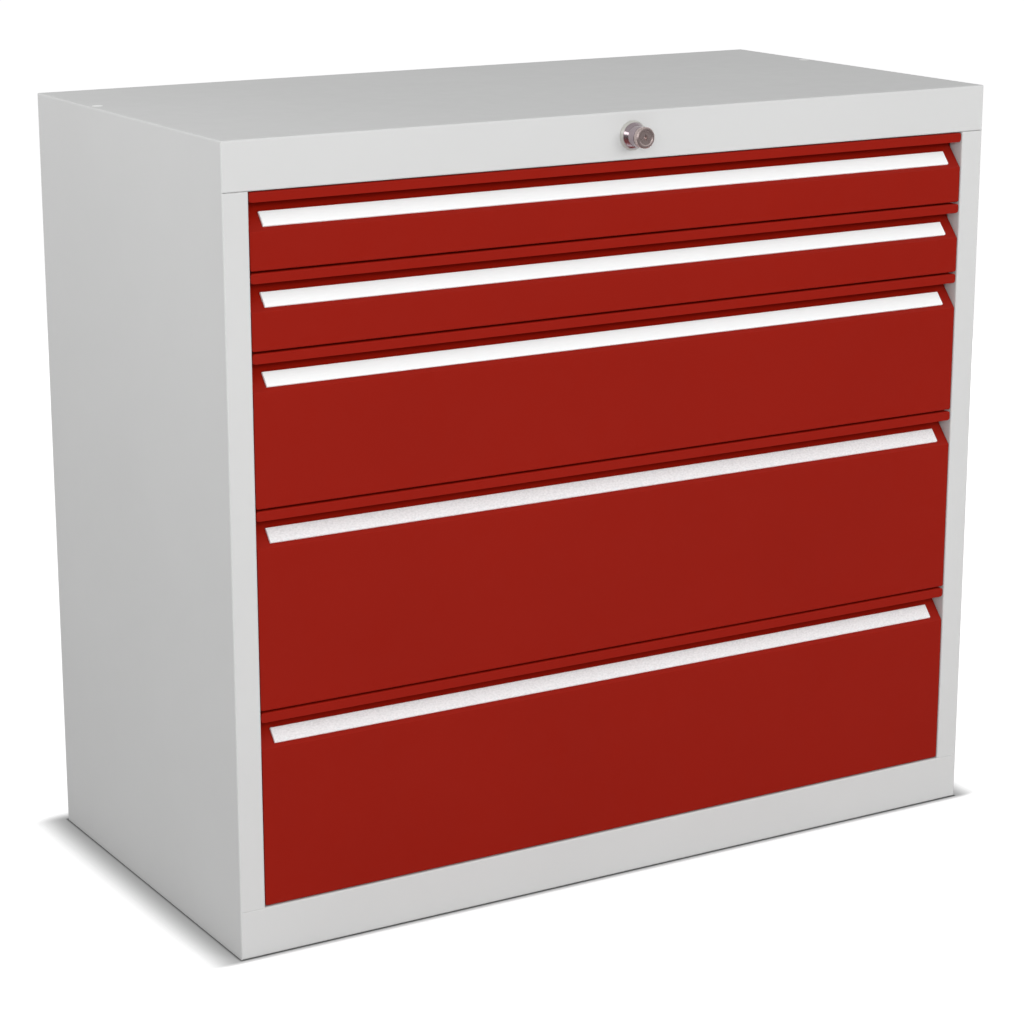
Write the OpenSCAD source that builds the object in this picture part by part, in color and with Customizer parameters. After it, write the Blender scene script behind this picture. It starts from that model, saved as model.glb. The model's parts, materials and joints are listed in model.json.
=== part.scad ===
// Drawer cabinet: a carcass of folded sheet steel with five drawers on telescopic slides,
// all of them closed by one cylinder lock in the fascia.
// Millimetres, front towards -Y, +Z up, origin on the floor in the middle of the overall box.

/* [Carcass] */
// Overall width
body_w = 1000; // [800:10:1200]
// Depth of the carcass, without the lock head
body_d = 500; // [460:10:700]
// Height of the fascia above the drawers
fascia_h = 54; // [50:1:80]
// Height of the plinth below the drawers
plinth_h = 56; // [40:1:120]
// Width of the posts beside the drawers
post_w = 30; // [26:1:45]
// Depth of the posts behind the front
post_d = 22; // [12:1:24]
// Width of the flanges that join the panels
flange_w = 18; // [12:1:20]
// Sheet thickness of the carcass
shell_t = 1.2; // [1:0.1:2]
// Sheet thickness of the back panel
back_t = 1; // [0.8:0.1:1.5]
// Inside radius of the folds
fold_r = 0.8; // [0.4:0.1:1.2]

/* [Drawers] */
// Height that a shallow drawer takes up
shallow_h = 85; // [82:1:120]
// Height that the medium drawer takes up
medium_h = 170; // [140:5:200]
// Height that a deep drawer takes up
deep_h = 225; // [150:5:300]
// Gap between one front and the next
front_gap = 2; // [1.5:0.5:5]
// Gap between a front and the posts
side_gap = 1; // [0.75:0.25:3]
// How far the fronts lie behind the face of the carcass
front_inset = 1.5; // [1:0.5:6]
// Sheet thickness of the drawers
drawer_t = 1; // [0.8:0.1:1.5]
// Radius of the corners of the fronts
corner_r = 3; // [2:0.5:6]
// Height of the return that closes a front at its foot
return_h = 20; // [10:1:30]
// Height of the tray's bottom above the foot of the front
tray_lift = 4; // [3:0.5:8]
// Depth of the tray's rim below the top of the front
tray_drop = 6; // [4:0.5:10]
// Height of the hem round the tray's rim
hem_h = 8; // [5:0.5:12]
// Room behind the trays for the lock bar
rear_space = 20; // [19:0.5:30]

/* [Grip] */
// Height of the lip that the fingers pull
lip_h = 11; // [9:0.5:13]
// Depth of the finger recess behind the face
recess_d = 24; // [20:1:30]
// Height of the upright back of the finger recess
recess_h = 14; // [13:0.5:16]
// Height of the slope below the finger recess
slope_h = 28; // [24:1:32]
// Width of the strip on the slope
strip_w = 18; // [14:0.5:21]
// Thickness of the strip
strip_t = 3; // [2:0.25:4]
// Distance of the strip from the knee, up the slope
strip_rise = 4.8; // [4:0.2:8]
// Distance of the strip's ends from the ends of the front
strip_inset = 16.5; // [8:0.5:40]
// Bevel along the edges of the strip
strip_bevel = 0.7; // [0.3:0.1:1]

/* [Slides] */
// Height of a slide
slide_h = 45; // [40:1:50]
// Thickness of a slide, from upright to tray
slide_t = 13; // [12:0.5:16]
// Sheet thickness of the rails
rail_t = 1.4; // [1:0.1:1.5]
// Running gap between one rail and the next
rail_gap = 0.3; // [0.2:0.05:0.4]
// Inside radius of the folds of the outer rail
rail_r = 2.4; // [2.2:0.1:3]
// Height of a slide's middle above the foot of the front
slide_rise = 40; // [34:1:44]
// Distance of the rails' ends from the tray's ends
slide_end = 5; // [2:0.5:15]
// Width of an upright
upright_w = 30; // [20:1:50]
// Width of the feet of an upright
upright_foot = 10; // [6:1:16]

/* [Lock] */
// Diameter of the rosette
rosette_d = 33; // [30:0.5:40]
// Thickness of the rosette
rosette_t = 4; // [3:0.25:6]
// Diameter of the collar
collar_d = 29; // [26:0.5:30]
// Length of the collar
collar_l = 17; // [8:0.5:18]
// Diameter of the turning head
head_d = 23.5; // [20:0.5:27]
// Length of the turning head
head_l = 7; // [6:0.5:16]
// Diameter of the barrel that passes the fascia
barrel_d = 22; // [20:0.5:24]
// Length of the barrel behind the fascia's face
barrel_l = 24; // [16:1:30]
// Diameter of the plug inside the barrel
plug_d = 15; // [13:0.5:16]
// Thickness of the nut
nut_t = 5; // [4:0.5:8]
// Diameter of the rod to the back
rod_d = 8; // [6:0.5:10]
// Radial running clearance of the plug and the rod
turn_fit = 0.05; // [0.03:0.01:0.08]
// Distance of the crank pin from the rod
crank_r = 12; // [11:0.5:13]
// Diameter of the crank pin
pin_d = 5; // [4:0.5:6]
// Thickness of the crank
crank_t = 4; // [3:0.5:5]
// Width of the lock bar
bar_w = 26; // [22:1:32]
// Thickness of the lock bar
bar_t = 3; // [2:0.25:4]
// Sliding gap round the lock bar and in front of the crank
bar_gap = 0.4; // [0.3:0.05:0.6]
// Sheet thickness of catches, guides and brackets
bracket_t = 1.5; // [1:0.1:2]
// Height of a catch above the foot of the front
catch_rise = 60; // [56:1:66]
// Width of catches and tabs
catch_w = 22; // [16:1:30]

/* [Plugs in the top] */
// Distance of the plugs from the front
plug_y = 345; // [60:5:380]
// Distance of the plugs from the side
plug_x = 10.5; // [9.5:0.5:14]
// Diameter of the holes for the plugs
plug_hole_d = 13; // [10:0.5:14]
// Width of the rim that holds a plug from below
plug_rim = 1; // [0.6:0.1:1.4]

/* [Hidden] */
$fn = 48;
fold_steps = 4;
through = 20;
grey = [0.80, 0.81, 0.80];
red = [0.56, 0.11, 0.08];
aluminium = [0.86, 0.87, 0.88];
nickel = [0.72, 0.69, 0.67];
zinc = [0.68, 0.70, 0.70];
white = [0.94, 0.94, 0.93];

// Drawer rows from the top down
rows = [shallow_h, shallow_h, medium_h, deep_h, deep_h];
drawers = [1:len(rows)];
function total(list, from = 0) = from < len(list) ? list[from] + total(list, from + 1) : 0;
body_h = fascia_h + total(rows) + plinth_h;
function foot(n) = plinth_h + total(rows, n) + front_gap / 2;
function front_h(n) = rows[n - 1] - front_gap;
function head(n) = foot(n) + front_h(n);
function knee(n) = head(n) - recess_h - slope_h;

// Places from front to back
lock_out = rosette_t + collar_l + head_l;
front_y = (lock_out - body_d) / 2;
back_y = front_y + body_d;
back_in = back_y - shell_t - back_t;
face_y = front_y + front_inset;
tray_y0 = face_y + recess_d + drawer_t;
tray_y1 = back_in - rear_space;
slide_y0 = tray_y0 + slide_end;
slide_y1 = tray_y1 - slide_end;

// Places across
side_x = body_w / 2;
inside_x = side_x - shell_t;
opening_x = side_x - post_w;
front_w = 2 * (opening_x - side_gap);
tray_w = 2 * (opening_x - slide_t);

// Lock train: the crank pin swings from below its middle to above it, and lifts the bar
lock_z = body_h - fascia_h / 2;
swing = 45;
lift = 2 * crank_r * sin(swing);
bar_x = -crank_r * (1 + cos(swing)) / 2;
bar_y = back_in - bar_gap - bar_t;
crank_y = bar_y - bar_gap - crank_t;
slot_play = 0.7;
barrel_play = 0.2;
axial_gap = 0.3;
socket_l = 8;
plug_back = barrel_l + socket_l + 2;
hook_gap = 5;
hook_y = bar_y - hook_gap;
hook_clear = 2;
hook_h = lift + hook_clear;
nose_y = (tray_y1 + hook_y - bracket_t) / 2;
tab_spare = 5;
tab_h = lift + tab_spare;
function hook_z(n) = foot(n) + catch_rise;
function nose_z(n) = hook_z(n) - hook_h - hook_clear;
bar_end = 7;
bar_foot = nose_z(len(rows)) - tab_h - bar_end;
slot_z = lock_z - crank_r * sin(swing);
bar_head = slot_z + pin_d / 2 + slot_play + bar_end;
guide_rise = 100;
guide_h = 20;
guided = [3, 4, 5];

// Folded sheet: a path of corner points gives one face, the sheet lies t to its left
function unit(v) = v / norm(v);
function left(v) = [-v.y, v.x];
function turned(v, a) = [v.x * cos(a) - v.y * sin(a), v.x * sin(a) + v.y * cos(a)];
function reversed(list) = [for (i = [len(list) - 1:-1:0]) list[i]];
function step(p, i) = unit(p[min(i, len(p) - 2) + 1] - p[min(i, len(p) - 2)]);
function bend(p, i) = i == 0 || i == len(p) - 1 ? 0 : sign(cross(step(p, i - 1), step(p, i)));
function beside(p, t) = [for (i = [0:len(p) - 1])
    let (a = step(p, max(i - 1, 0)), b = step(p, i)) p[i] + t * (left(a) + left(b)) / (1 + a * b)];

// Points that round corner i of a path to radius r
function rounded(p, i, r) = bend(p, i) == 0 || r == 0 ? [p[i]] :
    let (a = step(p, i - 1), s = bend(p, i), angle = acos(a * step(p, i)),
        centre = p[i] - a * r * tan(angle / 2) + s * r * left(a))
    [for (k = [0:fold_steps]) centre - s * r * left(turned(a, s * angle * k / fold_steps))];

function folded(p, t, r) =
    let (q = reversed(beside(p, t)), last = len(p) - 1)
    concat(
        [for (i = [0:last]) each rounded(p, i, r + (bend(p, i) * t > 0 ? abs(t) : 0))],
        [for (i = [0:last]) each rounded(q, i, r + (bend(p, last - i) * t > 0 ? 0 : abs(t)))]
    );
function softened(p, radii) = [for (i = [0:len(p) - 1]) each rounded(p, i, radii[i])];

module sheet(p, t, r = fold_r) polygon(folded(p, t, r));
module along_x(w, x = 0) translate([x, 0, 0]) rotate([90, 0, 90]) linear_extrude(w, center = true) children();
module along_y(y0, y1) translate([0, y1, 0]) rotate([90, 0, 0]) linear_extrude(y1 - y0) children();
module along_z(z0, z1) translate([0, 0, z0]) linear_extrude(z1 - z0) children();
module box(low, high) translate(low) cube(high - low);
module both_sides() for (m = [0, 1]) mirror([m, 0, 0]) children();

// Frame on the lock's axis, with its own +Z out of the fascia
module at_lock() translate([0, front_y, lock_z]) rotate([90, 0, 0]) children();
module at_plugs() both_sides() translate([side_x - plug_x, front_y + plug_y, body_h]) children();

// Outer form of the carcass, with the radius of its folds along the edges that show
module envelope() {
    r = fold_r + shell_t;
    soft = [0, 0, r, r, 0];
    intersection() {
        along_z(0, body_h)
            polygon(softened([[0, back_y], [-side_x, back_y], [-side_x, front_y], [side_x, front_y],
                [side_x, back_y]], soft));
        along_y(front_y, back_y)
            polygon(softened([[0, 0], [side_x, 0], [side_x, body_h], [-side_x, body_h], [-side_x, 0]], soft));
        along_x(body_w)
            polygon(softened([[0, 0], [back_y, 0], [back_y, body_h], [front_y, body_h], [front_y, 0]], soft));
    }
}

module plug_holes() at_plugs() cylinder(d = plug_hole_d, h = through, center = true);

// Left side: wall with its rear flange, front post between plinth and fascia, foot and head flanges
module side_panel() {
    rear = [[flange_w - side_x, back_y], [-side_x, back_y]];
    wall = concat(rear, [[-side_x, front_y + shell_t]]);
    post = concat(rear, [[-side_x, front_y], [-opening_x, front_y], [-opening_x, front_y + post_d]]);
    color(grey) difference() {
        intersection() {
            envelope();
            union() {
                along_z(0, body_h - shell_t) sheet(wall, shell_t);
                along_z(plinth_h, body_h - fascia_h) sheet(post, shell_t);
                for (z = [0, body_h - 2 * shell_t])
                    box([-side_x, front_y + flange_w, z], [flange_w - side_x, back_in, z + shell_t]);
            }
        }
        plug_holes();
    }
}

// Top with the fascia folded down in front and a flange behind
module top_panel() {
    path = [[back_y, body_h - flange_w], [back_y, body_h], [front_y, body_h],
        [front_y, body_h - fascia_h], [front_y + flange_w, body_h - fascia_h]];
    color(grey) difference() {
        intersection() {
            envelope();
            along_x(body_w) sheet(path, shell_t);
        }
        both_sides() {
            box([inside_x, front_y + shell_t, 0], [body_w, back_y, body_h - shell_t]);
            box([side_x - flange_w, back_y - shell_t, 0], [body_w, body_d, body_h - shell_t]);
        }
        at_lock() cylinder(d = barrel_d + 2 * barrel_play, h = through, center = true);
        plug_holes();
    }
}

// Floor under the lowest drawer, with the plinth folded down in front
module bottom_panel() {
    path = [[back_in, plinth_h - flange_w], [back_in, plinth_h], [front_y, plinth_h],
        [front_y, 0], [front_y + flange_w, 0]];
    color(grey) difference() {
        intersection() {
            envelope();
            along_x(body_w) sheet(path, shell_t);
        }
        both_sides() box([inside_x, front_y + shell_t, -1], [body_w, back_y, plinth_h + 1]);
    }
}

// Back, held clear of the inner radius of the folds round it
module back_panel()
    color(grey) box([fold_r - inside_x, back_in, 0],
        [inside_x - fold_r, back_in + back_t, body_h - shell_t - fold_r]);

// Hat-shaped upright on the left wall, with its middle at y
module upright(y) {
    wall = shell_t - inside_x;
    half = upright_w / 2;
    path = [[wall, y - half - upright_foot], [wall, y - half], [-opening_x, y - half],
        [-opening_x, y + half], [wall, y + half], [wall, y + half + upright_foot]];
    color(grey) along_z(plinth_h, body_h - 2 * shell_t) sheet(path, shell_t);
}
module upright_front() upright(slide_y0 + upright_foot + upright_w / 2);
module upright_rear() upright(slide_y1 - upright_foot - upright_w / 2);

// Blanking plugs, flush with the top and held by a rim under the sheets
module top_plugs() {
    r = plug_hole_d / 2 - turn_fit;
    soft = 0.4;
    rim_t = 1.5;
    under = 2 * shell_t;
    color(white) at_plugs() rotate_extrude()
        polygon([[0, -under - rim_t], [r + plug_rim, -under - rim_t], [r + plug_rim, -under], [r, -under],
            [r, -soft], [r - soft, 0], [0, 0]]);
}

module lock_rosette() {
    r = rosette_d / 2;
    hole = barrel_d / 2 + barrel_play;
    color(nickel) at_lock() rotate_extrude()
        polygon([[hole, 0], [r, 0], [r, rosette_t * 0.45], [r - rosette_t * 0.35, rosette_t], [hole, rosette_t]]);
}

// Collar that flares towards the rosette, and the barrel behind it
module lock_housing() {
    r = collar_d / 2;
    neck = head_d / 2;
    edge = 0.8;
    flare = 5;
    groove = 0.8;
    bore = plug_d / 2;
    tip = rosette_t + collar_l;
    color(nickel) at_lock() rotate_extrude()
        polygon([[bore, -barrel_l], [barrel_d / 2, -barrel_l], [barrel_d / 2, rosette_t], [r, rosette_t],
            [r, rosette_t + edge], [neck, rosette_t + edge + flare], [neck, tip - groove], [neck - groove, tip],
            [bore, tip]]);
}

module lock_nut() {
    across_flats = barrel_d + 6;
    color(zinc) at_lock() translate([0, 0, -shell_t - nut_t]) difference() {
        cylinder(d = across_flats / cos(30), h = nut_t, $fn = 6);
        translate([0, 0, -1]) cylinder(d = barrel_d + 2 * turn_fit, h = nut_t + 2);
    }
}

// Turning head with a ringed face and the key way, the plug behind it ends in a socket for the rod
module lock_plug() {
    shank = plug_d / 2 - turn_fit;
    root = rosette_t + collar_l + axial_gap;
    r = head_d / 2;
    bevel = 1.2;
    ring_r = r * 0.66;
    ring_w = 1.2;
    key_d = 4;
    key_depth = 4;
    key_slot = [1.6, 6];
    color(nickel) at_lock() difference() {
        rotate_extrude()
            polygon([[0, -plug_back], [shank, -plug_back], [shank, root], [r, root], [r, lock_out - bevel],
                [r - bevel, lock_out], [ring_r + ring_w, lock_out], [ring_r, lock_out - ring_w / 2],
                [0, lock_out - ring_w / 2]]);
        translate([0, 0, -plug_back - 1]) cylinder(d = rod_d + 2 * turn_fit, h = socket_l + 1);
        translate([0, 0, lock_out - key_depth]) {
            cylinder(d = key_d, h = key_depth + 1);
            translate(-key_slot / 2) cube([key_slot.x, key_slot.y, key_depth + 1]);
        }
    }
}

module lock_rod() {
    start = front_y + plug_back - socket_l;
    color(zinc) translate([0, start, lock_z]) rotate([-90, 0, 0])
        cylinder(d = rod_d, h = crank_y + crank_t - start);
}

// Bracket under the top that carries the rod in front of the crank
module rod_bracket() {
    y = crank_y - bar_gap;
    top = body_h - shell_t;
    width = 36;
    arm = 22;
    color(zinc) difference() {
        along_x(width) sheet([[y, lock_z - 2 * rod_d], [y, top], [y - arm, top]], bracket_t);
        translate([0, y, lock_z]) rotate([90, 0, 0])
            cylinder(d = rod_d + 2 * turn_fit, h = 4 * bracket_t, center = true);
    }
}

// Crank on the rod's end, at rest with its pin low on the left
module lock_crank() {
    hub_d = 2 * rod_d;
    boss_d = 2 * pin_d;
    arm_w = boss_d - 2;
    color(zinc) translate([0, crank_y, lock_z]) rotate([-90, 180 - swing, 0]) {
        linear_extrude(crank_t) difference() {
            union() {
                circle(d = hub_d);
                translate([0, -arm_w / 2]) square([crank_r, arm_w]);
                translate([crank_r, 0]) circle(d = boss_d);
            }
            circle(d = rod_d + 2 * turn_fit);
        }
        translate([crank_r, 0, crank_t]) cylinder(d = pin_d, h = bar_gap + bar_t);
    }
}

// Flat bar behind the drawers, with a cross slot for the crank pin
module lock_bar() {
    slot_r = pin_d / 2 + slot_play;
    ends = [-crank_r, -crank_r * cos(swing)];
    color(zinc) difference() {
        box([bar_x - bar_w / 2, bar_y, bar_foot], [bar_x + bar_w / 2, bar_y + bar_t, bar_head]);
        for (x = ends) translate([x, bar_y - 1, slot_z]) rotate([-90, 0, 0]) cylinder(r = slot_r, h = bar_t + 2);
        box([ends[0], bar_y - 1, slot_z - slot_r], [ends[1], bar_y + bar_t + 1, slot_z + slot_r]);
    }
}

// One tab for each drawer, its upturned nose ready to rise in front of the catch
module lock_bar_tabs()
    color(zinc) for (n = drawers)
        along_x(catch_w - 4, bar_x)
            sheet([[nose_y - bracket_t / 2, nose_z(n)], [nose_y - bracket_t / 2, nose_z(n) - tab_h],
                [bar_y, nose_z(n) - tab_h]], bracket_t);

// Straps on the back panel that keep the bar upright
module lock_bar_guides() {
    half = bar_w / 2 + bar_gap + bracket_t;
    base = back_in - bracket_t;
    tip = bar_y - bar_gap - bracket_t;
    ear = 10;
    path = [[bar_x - half - ear, base], [bar_x - half, base], [bar_x - half, tip],
        [bar_x + half, tip], [bar_x + half, base], [bar_x + half + ear, base]];
    color(zinc) for (n = guided)
        along_z(foot(n) + guide_rise, foot(n) + guide_rise + guide_h) sheet(path, bracket_t, bar_gap);
}

// Front folded from one sheet: lip, recess, slope, panel, foot and return, with closed ends
module drawer_front(n) {
    half = front_w / 2;
    lip_z = head(n) - lip_h;
    inner_y = face_y + drawer_t;
    path = [[face_y, lip_z], [face_y, head(n)], [tray_y0, head(n)], [tray_y0, head(n) - recess_h],
        [inner_y, knee(n)], [inner_y, foot(n) + drawer_t], [tray_y0 - drawer_t, foot(n) + drawer_t],
        [tray_y0 - drawer_t, foot(n) + return_h]];
    mid = drawer_t / 2;
    end = [[face_y + mid, foot(n) + corner_r], [tray_y0 - mid, foot(n) + corner_r],
        [tray_y0 - mid, head(n) - recess_h], [face_y + mid, knee(n)]];
    outline = [[0, foot(n)], [half, foot(n)], [half, head(n)], [-half, head(n)], [-half, foot(n)],
        [0, foot(n)]];
    nick = concat([[half + 1, lip_z - 1], [half - corner_r, lip_z - 1]],
        rounded([[half - corner_r, lip_z], [half, lip_z], [half, lip_z + corner_r]], 1, corner_r),
        [[half + 1, lip_z + corner_r]]);
    color(red) difference() {
        intersection() {
            union() {
                along_x(front_w) sheet(path, -drawer_t);
                both_sides() along_x(drawer_t, half - mid) polygon(end);
            }
            along_y(face_y - 1, tray_y0 + 1) polygon(softened(outline, [for (p = outline) corner_r]));
        }
        both_sides() along_y(face_y - 1, inner_y + fold_r) polygon(nick);
    }
}

// Flat bevelled strip on the slope
module drawer_strip(n) {
    profile = [[0, 0], [strip_w, 0], [strip_w, strip_t - strip_bevel], [strip_w - strip_bevel, strip_t],
        [strip_bevel, strip_t], [0, strip_t - strip_bevel]];
    color(aluminium) along_x(front_w - 2 * strip_inset)
        translate([face_y + drawer_t, knee(n)]) rotate(atan2(slope_h, recess_d))
            translate([strip_rise, drawer_t]) polygon(profile);
}

// Open tray with a hem round its rim
module drawer_tray(n) {
    low = [-tray_w / 2, tray_y0, foot(n) + tray_lift];
    high = [tray_w / 2, tray_y1, head(n) - tray_drop];
    wall = [drawer_t, drawer_t, 0];
    hem_z = high.z - hem_h;
    color(red) difference() {
        box(low, high);
        box(low + wall + [0, 0, drawer_t], [high.x, high.y, hem_z] - wall);
        box([low.x, low.y, hem_z - 1] + 2 * wall, high - 2 * wall + [0, 0, 1]);
    }
}

// Three nested channels make a slide: one on the upright, one between, one on the tray
rail_step = rail_t + rail_gap;
rail_reach = slide_t - rail_t - 4 * rail_gap;
function slide_z(n) = foot(n) + slide_rise;
module channel(base, tip, h, z, t, r)
    both_sides() along_y(slide_y0, slide_y1)
        sheet([[tip, z + h / 2], [base, z + h / 2], [base, z - h / 2], [tip, z - h / 2]], t, r);

module cabinet_rails(n)
    color(zinc) channel(-opening_x, rail_reach - opening_x, slide_h, slide_z(n), rail_t, rail_r);
module middle_rails(n)
    color(zinc) channel(rail_step - opening_x, rail_reach - opening_x, slide_h - 2 * rail_step, slide_z(n),
        rail_t, rail_r - rail_step);
module drawer_rails(n)
    color(zinc) channel(-tray_w / 2, 2 * rail_step - opening_x, slide_h - 4 * rail_step, slide_z(n),
        -rail_t, rail_gap);

// Hook on the back of a tray
module drawer_catch(n) {
    foot_h = 10;
    color(zinc) along_x(catch_w, bar_x)
        sheet([[tray_y1, hook_z(n) - hook_h - foot_h], [tray_y1, hook_z(n)], [hook_y, hook_z(n)],
            [hook_y, hook_z(n) - hook_h]], -bracket_t);
}

side_panel();  // side_panel_left
mirror([1, 0, 0]) side_panel();  // side_panel_right
top_panel();
bottom_panel();
back_panel();
upright_front();  // upright_front_left
upright_rear();  // upright_rear_left
mirror([1, 0, 0]) upright_front();  // upright_front_right
mirror([1, 0, 0]) upright_rear();  // upright_rear_right
top_plugs();
lock_rosette();
lock_housing();
lock_nut();
lock_plug();
lock_rod();
rod_bracket();
lock_crank();
lock_bar();
lock_bar_tabs();
lock_bar_guides();
for (n = drawers) {
    drawer_front(n);
    drawer_strip(n);
    drawer_tray(n);
    drawer_rails(n);
    middle_rails(n);
    cabinet_rails(n);
    drawer_catch(n);
}
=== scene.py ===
import json
import math
import bmesh
import bpy
from mathutils import Matrix, Vector


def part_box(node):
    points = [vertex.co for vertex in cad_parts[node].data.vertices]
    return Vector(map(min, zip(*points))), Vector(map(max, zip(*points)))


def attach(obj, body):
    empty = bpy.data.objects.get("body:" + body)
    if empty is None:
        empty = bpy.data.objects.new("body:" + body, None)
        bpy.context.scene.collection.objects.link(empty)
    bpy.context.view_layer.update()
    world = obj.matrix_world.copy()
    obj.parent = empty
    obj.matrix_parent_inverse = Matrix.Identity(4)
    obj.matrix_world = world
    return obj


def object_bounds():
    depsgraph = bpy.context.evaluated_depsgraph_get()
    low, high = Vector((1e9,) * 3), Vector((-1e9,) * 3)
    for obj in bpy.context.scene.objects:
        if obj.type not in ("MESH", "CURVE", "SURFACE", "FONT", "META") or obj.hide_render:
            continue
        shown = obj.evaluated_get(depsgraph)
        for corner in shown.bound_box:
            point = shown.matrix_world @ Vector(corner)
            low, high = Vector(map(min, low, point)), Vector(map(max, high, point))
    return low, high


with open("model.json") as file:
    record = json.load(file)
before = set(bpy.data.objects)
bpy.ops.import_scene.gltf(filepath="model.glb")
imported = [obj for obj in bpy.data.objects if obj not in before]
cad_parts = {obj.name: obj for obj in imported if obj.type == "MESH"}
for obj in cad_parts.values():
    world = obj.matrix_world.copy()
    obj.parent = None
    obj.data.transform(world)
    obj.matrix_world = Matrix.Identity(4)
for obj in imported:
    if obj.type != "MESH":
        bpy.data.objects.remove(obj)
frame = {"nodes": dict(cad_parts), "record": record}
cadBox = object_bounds()
nodes = frame["nodes"]
subparts = frame["record"]["subparts"]
drawerNumbers = range(1, 6)
white = (1.0, 1.0, 1.0, 1.0)
print("frame loaded with", len(nodes), "pieces")

# camera at the photograph's viewing angle
cameraSetup = {
    "place": (-1.718, -2.857, 1.276),
    "yaw": 30.81,        # degrees to the right of straight ahead
    "pitch": 14.92,      # degrees downwards
    "focal": 2829.0,     # focal length in pixels of the frame
    "framePixels": 1024.0,
    "sensor": 36.0,
    "sight": 60.0,       # farthest distance that it sees
}


def makeCamera(setup):
    data = bpy.data.cameras.new("studioCamera")
    data.sensor_width = setup["sensor"]
    data.lens = setup["focal"] / setup["framePixels"] * setup["sensor"]
    data.clip_end = setup["sight"]
    camera = bpy.data.objects.new("studioCamera", data)
    camera.location = setup["place"]
    camera.rotation_euler = (math.radians(90.0 - setup["pitch"]), 0.0, math.radians(-setup["yaw"]))
    bpy.context.scene.collection.objects.link(camera)
    bpy.context.scene.camera = camera


makeCamera(cameraSetup)
print("camera placed")

# node helpers shared by the finishes, the dome and the floor
noiseSpan = (0.3, 0.7)   # nearly all of a noise lies between these


def startMaterial(name):
    material = bpy.data.materials.new(name)
    material.use_nodes = True
    tree = material.node_tree
    coord = tree.nodes.new("ShaderNodeTexCoord")
    return material, tree, tree.nodes["Principled BSDF"], coord.outputs["Object"]


def placed(tree, vector, offset=(0.0, 0.0, 0.0), stretch=(1.0, 1.0, 1.0)):
    mapping = tree.nodes.new("ShaderNodeMapping")
    mapping.inputs["Location"].default_value = offset
    mapping.inputs["Scale"].default_value = stretch
    tree.links.new(vector, mapping.inputs["Vector"])
    return mapping.outputs["Vector"]


def noiseOf(tree, vector, scale=1.0, detail=2.0):
    noise = tree.nodes.new("ShaderNodeTexNoise")
    noise.inputs["Scale"].default_value = scale
    noise.inputs["Detail"].default_value = detail
    tree.links.new(vector, noise.inputs["Vector"])
    return noise.outputs["Fac"]


def between(tree, value, low=0.0, high=1.0):
    span = tree.nodes.new("ShaderNodeMapRange")
    span.inputs["From Min"].default_value = noiseSpan[0]
    span.inputs["From Max"].default_value = noiseSpan[1]
    span.inputs["To Min"].default_value = low
    span.inputs["To Max"].default_value = high
    tree.links.new(value, span.inputs["Value"])
    return span.outputs["Result"]


def ramped(tree, value, low=0.0, high=1.0):
    ramp = tree.nodes.new("ShaderNodeMapRange")
    ramp.interpolation_type = "SMOOTHSTEP"
    ramp.inputs["From Min"].default_value = low
    ramp.inputs["From Max"].default_value = high
    tree.links.new(value, ramp.inputs["Value"])
    return ramp.outputs["Result"]


# a number, a colour or another node's output goes into a socket
def feed(tree, value, socket):
    if isinstance(value, float):
        socket.default_value = value
    elif isinstance(value, tuple):
        socket.default_value = (*value, 1.0)
    else:
        tree.links.new(value, socket)


def tinted(tree, value, dark, light):
    mix = tree.nodes.new("ShaderNodeMix")
    mix.data_type = "RGBA"
    feed(tree, dark, mix.inputs["A"])
    feed(tree, light, mix.inputs["B"])
    tree.links.new(value, mix.inputs["Factor"])
    return mix.outputs["Result"]


def mathOf(tree, operation, first, second=0.0):
    node = tree.nodes.new("ShaderNodeMath")
    node.operation = operation
    feed(tree, first, node.inputs[0])
    feed(tree, second, node.inputs[1])
    return node.outputs["Value"]


def bumped(tree, shader, height, depth, strength):
    bump = tree.nodes.new("ShaderNodeBump")
    bump.inputs["Strength"].default_value = strength
    bump.inputs["Distance"].default_value = depth
    tree.links.new(height, bump.inputs["Height"])
    tree.links.new(bump.outputs["Normal"], shader.inputs["Normal"])


def shaded(colour, share):
    return tuple(c * share for c in colour)


def darkAndLight(look):
    return shaded(look["colour"], 1.0 - look["tint"]), shaded(look["colour"], 1.0 + look["tint"])


# the dome lights with a pale sky and a dark warm ground, and the camera sees white in its place
worldSetup = {
    "sky": (0.6, 0.6, 0.6),
    "ground": (0.1, 0.082, 0.086),
    "horizon": (-0.06, 0.12),  # heights between which ground turns to sky
    "seen": 1.0,               # what the camera sees past the floor
}


def makeWorld(setup):
    world = bpy.data.worlds.new("studioDome")
    bpy.context.scene.world = world
    world.use_nodes = True
    tree = world.node_tree
    coord = tree.nodes.new("ShaderNodeTexCoord")
    direction = tree.nodes.new("ShaderNodeSeparateXYZ")
    tree.links.new(coord.outputs["Generated"], direction.inputs["Vector"])
    dome = tree.nodes["Background"]
    skyShare = ramped(tree, direction.outputs["Z"], *setup["horizon"])
    tree.links.new(tinted(tree, skyShare, setup["ground"], setup["sky"]), dome.inputs["Color"])
    seen = tree.nodes.new("ShaderNodeBackground")
    seen.inputs["Color"].default_value = white
    seen.inputs["Strength"].default_value = setup["seen"]
    path = tree.nodes.new("ShaderNodeLightPath")
    chosen = tree.nodes.new("ShaderNodeMixShader")
    tree.links.new(path.outputs["Is Camera Ray"], chosen.inputs["Fac"])
    tree.links.new(dome.outputs["Background"], chosen.inputs[1])
    tree.links.new(seen.outputs["Background"], chosen.inputs[2])
    tree.links.new(chosen.outputs["Shader"], tree.nodes["World Output"].inputs["Surface"])


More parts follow.
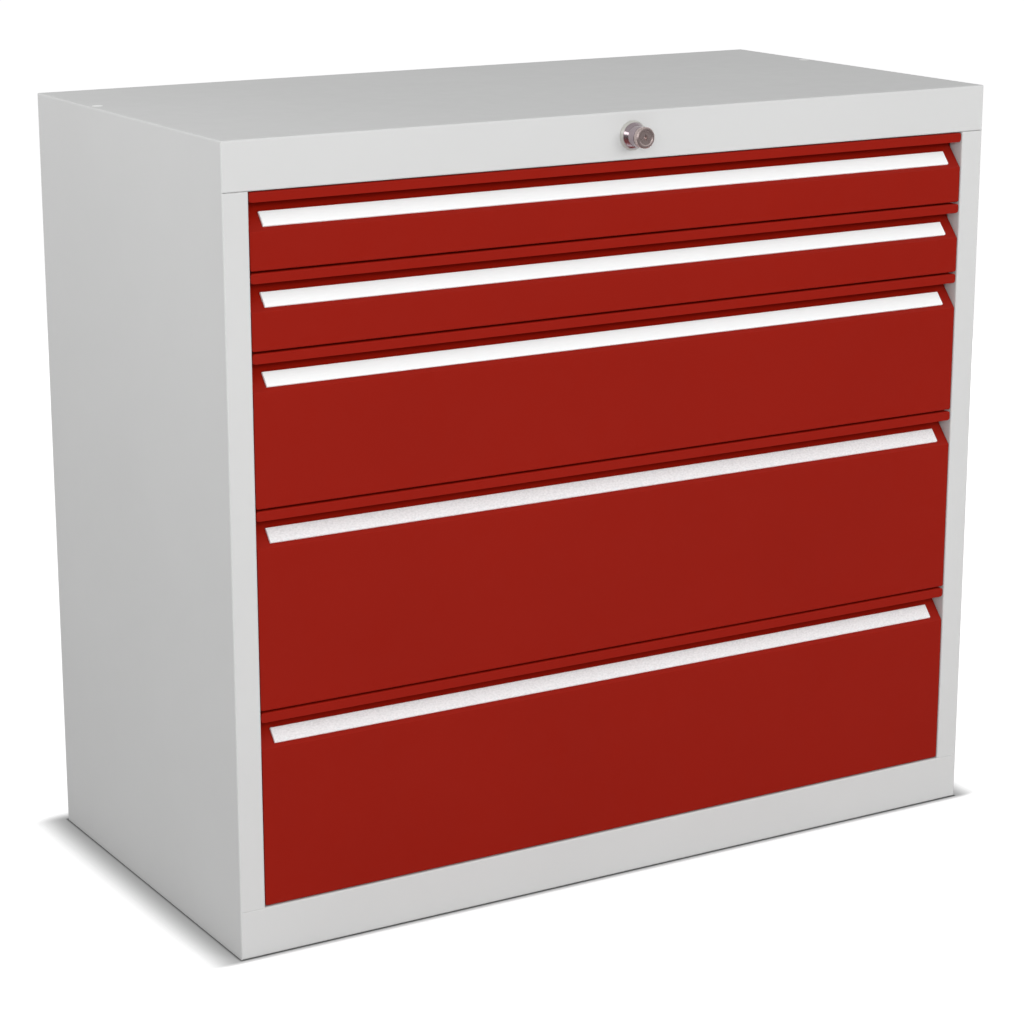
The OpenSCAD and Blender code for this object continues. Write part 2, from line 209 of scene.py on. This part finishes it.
# low soft boxes, so that light gets under the lips
# glossy surfaces don't mirror the front one, which would glare on the top seen from behind
lampSetup = {
    "front": {"place": (0.9, -3.4, 1.8), "aim": (0.0, -0.236, 0.5), "wide": 2.4, "high": 1.0,
              "watts": 47.5, "mirrored": False},
    "left": {"place": (-1.5, 0.15, 1.4), "aim": (-0.5, 0.1, 0.9), "wide": 1.8, "high": 0.5,
             "watts": 6.6, "mirrored": True},
    "camera": {"place": (-2.6, -4.0, 2.0), "aim": (0.0, 0.0, 0.5), "wide": 2.0, "high": 1.2,
               "watts": 53.0, "mirrored": True},
    "behind": {"place": (2.0, 2.4, 0.6), "aim": (0.2, 0.1, 0.45), "wide": 2.2, "high": 0.6,
               "watts": 18.0, "mirrored": True},
}


def makeLamp(name, setup):
    data = bpy.data.lights.new(name, "AREA")
    data.shape = "RECTANGLE"
    data.size = setup["wide"]
    data.size_y = setup["high"]
    data.energy = setup["watts"]
    lamp = bpy.data.objects.new(name, data)
    place = Vector(setup["place"])
    lamp.location = place
    lamp.rotation_euler = (Vector(setup["aim"]) - place).to_track_quat("-Z", "Y").to_euler()
    lamp.visible_glossy = setup["mirrored"]
    bpy.context.scene.collection.objects.link(lamp)


makeWorld(worldSetup)
for lampName, lamp in lampSetup.items():
    makeLamp(lampName, lamp)
bpy.context.scene.view_settings.view_transform = "Standard"
print("dome and lamps set")

# powder coat: fine orange peel, a breath of colour and gloss variation
bodyPaint = {"colour": (0.62, 0.623, 0.62), "tint": 0.012, "rough": (0.42, 0.5), "specular": 0.3}
drawerPaint = {"colour": (0.276, 0.0088, 0.0032), "tint": 0.02, "rough": (0.36, 0.44), "specular": 0.12}
coatTexture = {"clouds": 4.0, "gloss": 45.0, "glossDetail": 3.0, "peel": 620.0, "peelDetail": 1.0,
               "depth": 0.00004, "bump": 0.5}


def powderCoat(name, look):
    material, tree, shader, here = startMaterial(name)
    cloud = between(tree, noiseOf(tree, here, coatTexture["clouds"]))
    tree.links.new(tinted(tree, cloud, *darkAndLight(look)), shader.inputs["Base Color"])
    gloss = noiseOf(tree, here, coatTexture["gloss"], coatTexture["glossDetail"])
    tree.links.new(between(tree, gloss, *look["rough"]), shader.inputs["Roughness"])
    shader.inputs["Specular IOR Level"].default_value = look["specular"]
    peel = noiseOf(tree, here, coatTexture["peel"], coatTexture["peelDetail"])
    bumped(tree, shader, peel, coatTexture["depth"], coatTexture["bump"])
    return material


# aluminium brushed along its length, in lit and shaded copies: the upper strips get a lighter colour as a
# painted highlight, the two lowest a duller colour as painted shade, with coarser flecks
paintedLitStrip = {"colour": (0.968, 0.988, 0.988), "metal": 0.0, "specular": 0.8, "tint": 0.012,
               "flecks": (60.0, 420.0, 420.0)}
paintedShadedStrip = {"colour": (0.915, 0.9, 0.907), "metal": 0.15, "specular": 0.5, "tint": 0.09,
             "flecks": (360.0, 560.0, 560.0)}
brushing = {"grain": (6.0, 900.0, 900.0), "grainDetail": 4.0, "fleckDetail": 3.0, "rough": (0.42, 0.5),
            "depth": 0.000005, "bump": 0.4}


def brushedAluminium(name, look):
    material, tree, shader, here = startMaterial(name)
    grain = noiseOf(tree, placed(tree, here, stretch=brushing["grain"]), detail=brushing["grainDetail"])
    flecks = noiseOf(tree, placed(tree, here, stretch=look["flecks"]), detail=brushing["fleckDetail"])
    tree.links.new(tinted(tree, between(tree, flecks), *darkAndLight(look)), shader.inputs["Base Color"])
    tree.links.new(between(tree, grain, *brushing["rough"]), shader.inputs["Roughness"])
    shader.inputs["Metallic"].default_value = look["metal"]
    shader.inputs["Specular IOR Level"].default_value = look["specular"]
    bumped(tree, shader, grain, brushing["depth"], brushing["bump"])
    return material


# turned metal: fine rings round the lock's axis, a little smudged
rosetteMetal = {"colour": (0.58, 0.57, 0.535), "metal": 0.3, "rough": (0.3, 0.4), "rings": 260.0,
                "depth": 0.00002}
collarMetal = {"colour": (0.46, 0.38, 0.41), "metal": 1.0, "rough": (0.1, 0.16), "rings": 300.0,
               "depth": 0.00001}
plugMetal = {"colour": (0.6, 0.49, 0.47), "metal": 0.84, "rough": (0.24, 0.34), "rings": 340.0,
             "depth": 0.00003}
turning = {"wobble": 0.4, "smudges": 120.0, "smudgeDetail": 3.0, "smudgeShade": 0.92, "gloss": 260.0,
           "bump": 0.5}


def turnedMetal(name, look, axisHeight):
    material, tree, shader, here = startMaterial(name)
    rings = tree.nodes.new("ShaderNodeTexWave")
    rings.wave_type = "RINGS"
    rings.rings_direction = "Y"
    rings.inputs["Scale"].default_value = look["rings"]
    rings.inputs["Distortion"].default_value = turning["wobble"]
    tree.links.new(placed(tree, here, offset=(0.0, 0.0, -axisHeight)), rings.inputs["Vector"])
    smudge = between(tree, noiseOf(tree, here, turning["smudges"], turning["smudgeDetail"]))
    smudged = shaded(look["colour"], turning["smudgeShade"])
    tree.links.new(tinted(tree, smudge, smudged, look["colour"]), shader.inputs["Base Color"])
    gloss = noiseOf(tree, here, turning["gloss"])
    tree.links.new(between(tree, gloss, *look["rough"]), shader.inputs["Roughness"])
    shader.inputs["Metallic"].default_value = look["metal"]
    bumped(tree, shader, rings.outputs["Fac"], look["depth"], turning["bump"])
    return material


# zinc plated steel with a faint spangle
zincSteel = {"colour": (0.56, 0.58, 0.6), "metal": 1.0, "cells": 90.0, "tint": 0.06, "rough": (0.28, 0.4),
             "gloss": 70.0, "glossDetail": 3.0, "ripple": 400.0, "depth": 0.000008, "bump": 0.4}


def zincPlate(name, look):
    material, tree, shader, here = startMaterial(name)
    cells = tree.nodes.new("ShaderNodeTexVoronoi")
    cells.inputs["Scale"].default_value = look["cells"]
    tree.links.new(here, cells.inputs["Vector"])
    spangle = tree.nodes.new("ShaderNodeSeparateColor")
    tree.links.new(cells.outputs["Color"], spangle.inputs["Color"])
    tree.links.new(tinted(tree, spangle.outputs["Red"], *darkAndLight(look)), shader.inputs["Base Color"])
    gloss = noiseOf(tree, here, look["gloss"], look["glossDetail"])
    tree.links.new(between(tree, gloss, *look["rough"]), shader.inputs["Roughness"])
    shader.inputs["Metallic"].default_value = look["metal"]
    bumped(tree, shader, noiseOf(tree, here, look["ripple"]), look["depth"], look["bump"])
    return material


# white moulded plastic
plugPlastic = {"colour": (0.95, 0.95, 0.94), "tint": 0.02, "clouds": 160.0, "rough": (0.34, 0.46),
               "gloss": 300.0, "grain": 1500.0, "depth": 0.00002, "bump": 0.4}


def mouldedPlastic(name, look):
    material, tree, shader, here = startMaterial(name)
    cloud = between(tree, noiseOf(tree, here, look["clouds"]))
    dark = shaded(look["colour"], 1.0 - look["tint"])
    tree.links.new(tinted(tree, cloud, dark, look["colour"]), shader.inputs["Base Color"])
    gloss = noiseOf(tree, here, look["gloss"])
    tree.links.new(between(tree, gloss, *look["rough"]), shader.inputs["Roughness"])
    bumped(tree, shader, noiseOf(tree, here, look["grain"]), look["depth"], look["bump"])
    return material


# the floor is white to the camera but for a painted soft shadow and a painted thin dark line of shade
# round the cabinet
floorSetup = {
    "half": 30.0,
    "colour": (0.7, 0.7, 0.7),
    "shade": (0.46, 0.46, 0.46),   # painted colour in the soft shadow
    "under": (0.1, 0.1, 0.1),      # painted colour in the dark line of shade
    "rough": 0.9,
    "glow": 0.6,                   # only the camera sees it, and it fades out in the painted soft shadow
    "left": -0.5, "right": 0.5, "front": -0.236, "back": 0.264,   # the cabinet's footprint
    "shadow": {"left": 0.058, "right": 0.045, "front": 0.014, "back": 0.03},
    "line": {"left": 0.004, "right": 0.003, "front": 0.003, "back": 0.004},
}


def pastEdge(tree, place, edge, width):
    out = mathOf(tree, "MULTIPLY", mathOf(tree, "SUBTRACT", place, edge), 1.0 / width)
    return mathOf(tree, "MAXIMUM", out)


def squared(tree, value):
    return mathOf(tree, "MULTIPLY", value, value)


# distance past the footprint, as a share of the widths
def pastFootprint(tree, place, setup, widths):
    left = pastEdge(tree, place.outputs["X"], setup["left"], -widths["left"])
    right = pastEdge(tree, place.outputs["X"], setup["right"], widths["right"])
    front = pastEdge(tree, place.outputs["Y"], setup["front"], -widths["front"])
    back = pastEdge(tree, place.outputs["Y"], setup["back"], widths["back"])
    across = mathOf(tree, "MAXIMUM", left, right)
    along = mathOf(tree, "MAXIMUM", front, back)
    return mathOf(tree, "SQRT", mathOf(tree, "ADD", squared(tree, across), squared(tree, along)))


def makeFloor(setup):
    shape = bmesh.new()
    bmesh.ops.create_grid(shape, x_segments=1, y_segments=1, size=setup["half"])
    mesh = bpy.data.meshes.new("studioFloor")
    shape.to_mesh(mesh)
    shape.free()
    floor = bpy.data.objects.new("studioFloor", mesh)
    bpy.context.scene.collection.objects.link(floor)
    floor.visible_glossy = False   # mirrors show the dome's ground instead
    material, tree, shader, here = startMaterial("paleFloor")
    shader.inputs["Roughness"].default_value = setup["rough"]
    shader.inputs["Specular IOR Level"].default_value = 0.0
    shader.inputs["Emission Color"].default_value = white
    place = tree.nodes.new("ShaderNodeSeparateXYZ")
    tree.links.new(here, place.inputs["Vector"])
    # near the footprint the floor's colour is darkened into a painted soft shadow and a painted dark line
    # of shade, and its glow fades out in the painted soft shadow
    lit = ramped(tree, pastFootprint(tree, place, setup, setup["shadow"]))
    past = ramped(tree, pastFootprint(tree, place, setup, setup["line"]))
    ground = tinted(tree, lit, setup["shade"], setup["colour"])
    tree.links.new(tinted(tree, past, setup["under"], ground), shader.inputs["Base Color"])
    path = tree.nodes.new("ShaderNodeLightPath")
    seen = mathOf(tree, "MULTIPLY", lit, path.outputs["Is Camera Ray"])
    tree.links.new(mathOf(tree, "MULTIPLY", seen, setup["glow"]), shader.inputs["Emission Strength"])
    mesh.materials.append(material)


makeFloor(floorSetup)
print("floor laid")

# finishes by the record's slots, with two lock pieces and the two lowest strips apart
lockLow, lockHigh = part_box("lock_rosette")
lockHeight = (lockLow.z + lockHigh.z) / 2.0
finishes = {
    "body_paint": powderCoat("lightGreyPaint", bodyPaint),
    "drawer_paint": powderCoat("rubyRedPaint", drawerPaint),
    # the upper strips' lighter colour is a painted highlight
    "strip_aluminium": brushedAluminium("brushedStripPaintedLit", paintedLitStrip),
    "zinc": zincPlate("zincSteel", zincSteel),
    "plug_plastic": mouldedPlastic("whitePlug", plugPlastic),
    "lock_nickel": turnedMetal("nickelCollar", collarMetal, lockHeight),
}
# the two lowest strips' duller colour is painted shade
paintedShadedAluminium = brushedAluminium("paintedShadedStrip", paintedShadedStrip)
ownFinishes = {
    "lock_rosette": turnedMetal("satinRosette", rosetteMetal, lockHeight),
    "lock_plug": turnedMetal("nickelHead", plugMetal, lockHeight),
    "drawer_4_strip": paintedShadedAluminium,
    "drawer_5_strip": paintedShadedAluminium,
}
for part in subparts:
    nodeName = part["node"]
    finish = ownFinishes.get(nodeName, finishes[part["material_slot"]])
    nodes[nodeName].material_slots[0].material = finish
print("finishes given to", len(subparts), "pieces")

# the strips' ends get the small bevel that their long edges have
stripBevel = {"merge": 0.00001, "width": 0.0007, "steps": 2, "angle": 60.0}
for number in drawerNumbers:
    strip = nodes[f"drawer_{number}_strip"]
    weld = strip.modifiers.new("weld", "WELD")
    weld.merge_threshold = stripBevel["merge"]
    bevel = strip.modifiers.new("bevel", "BEVEL")
    bevel.width = stripBevel["width"]
    bevel.segments = stripBevel["steps"]
    bevel.limit_method = "ANGLE"
    bevel.angle_limit = math.radians(stripBevel["angle"])
print("strip ends bevelled")

# spot welds on the rear flanges, low on the back and, inside the trays, where the rails hold
weldShape = {"foot": 0.003, "top": 0.0024, "high": 0.00018, "sides": 20}
rearWelds = {
    "margin": 0.009,                 # from the flange's outer edge
    "ends": 0.06,                    # from the top and bottom to the outermost weld
    "upright": 8,
    "reach": 0.42,                   # half of a row across
    "across": 9,
    "panel": "back_panel",
    "floor": 0.047,                  # height of the row on the back
}
trayWelds = {"rows": (-0.185, -0.06, 0.075, 0.21), "sheet": 0.001}


def weldMarks(name, places, normal):
    shape = bmesh.new()
    turn = Vector(normal).to_track_quat("Z", "Y").to_matrix().to_4x4()
    for place in places:
        lifted = Vector(place) + Vector(normal) * weldShape["high"] / 2.0
        bmesh.ops.create_cone(shape, cap_ends=True, segments=weldShape["sides"], radius1=weldShape["foot"],
                              radius2=weldShape["top"], depth=weldShape["high"],
                              matrix=Matrix.Translation(lifted) @ turn)
    mesh = bpy.data.meshes.new(name)
    shape.to_mesh(mesh)
    shape.free()
    marks = bpy.data.objects.new(name, mesh)
    bpy.context.scene.collection.objects.link(marks)
    return marks


def spread(low, high, count):
    return [low + (high - low) * step / (count - 1) for step in range(count)]


sideLow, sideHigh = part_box("side_panel_left")
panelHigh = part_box(rearWelds["panel"])[1]
flangeX = -sideLow.x - rearWelds["margin"]
flangeZ = cadBox[1].z - rearWelds["margin"]
heights = spread(sideLow.z + rearWelds["ends"], sideHigh.z - rearWelds["ends"], rearWelds["upright"])
rowAcross = spread(-rearWelds["reach"], rearWelds["reach"], rearWelds["across"])
flangeSpots = [(side * flangeX, sideHigh.y, height) for side in (-1.0, 1.0) for height in heights]
flangeSpots += [(x, sideHigh.y, flangeZ) for x in rowAcross]
panelSpots = [(x, panelHigh.y, rearWelds["floor"]) for x in rowAcross]
for name, spots in (("flangeWelds", flangeSpots), ("panelWelds", panelSpots)):
    marks = weldMarks(name, spots, (0.0, 1.0, 0.0))
    marks.data.materials.append(finishes["body_paint"])
    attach(marks, "carcass")
for number in drawerNumbers:
    trayLow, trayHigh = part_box(f"drawer_{number}_tray")
    railLow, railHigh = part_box(f"drawer_{number}_drawer_rails")
    level = (railLow.z + railHigh.z) / 2.0
    for side, wall, normal in (("Left", trayLow.x + trayWelds["sheet"], 1.0),
                               ("Right", trayHigh.x - trayWelds["sheet"], -1.0)):
        spots = [(wall, y, level) for y in trayWelds["rows"]]
        marks = weldMarks(f"tray{number}Welds{side}", spots, (normal, 0.0, 0.0))
        marks.data.materials.append(finishes["drawer_paint"])
        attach(marks, f"drawer_{number}")
print("spot welds marked")
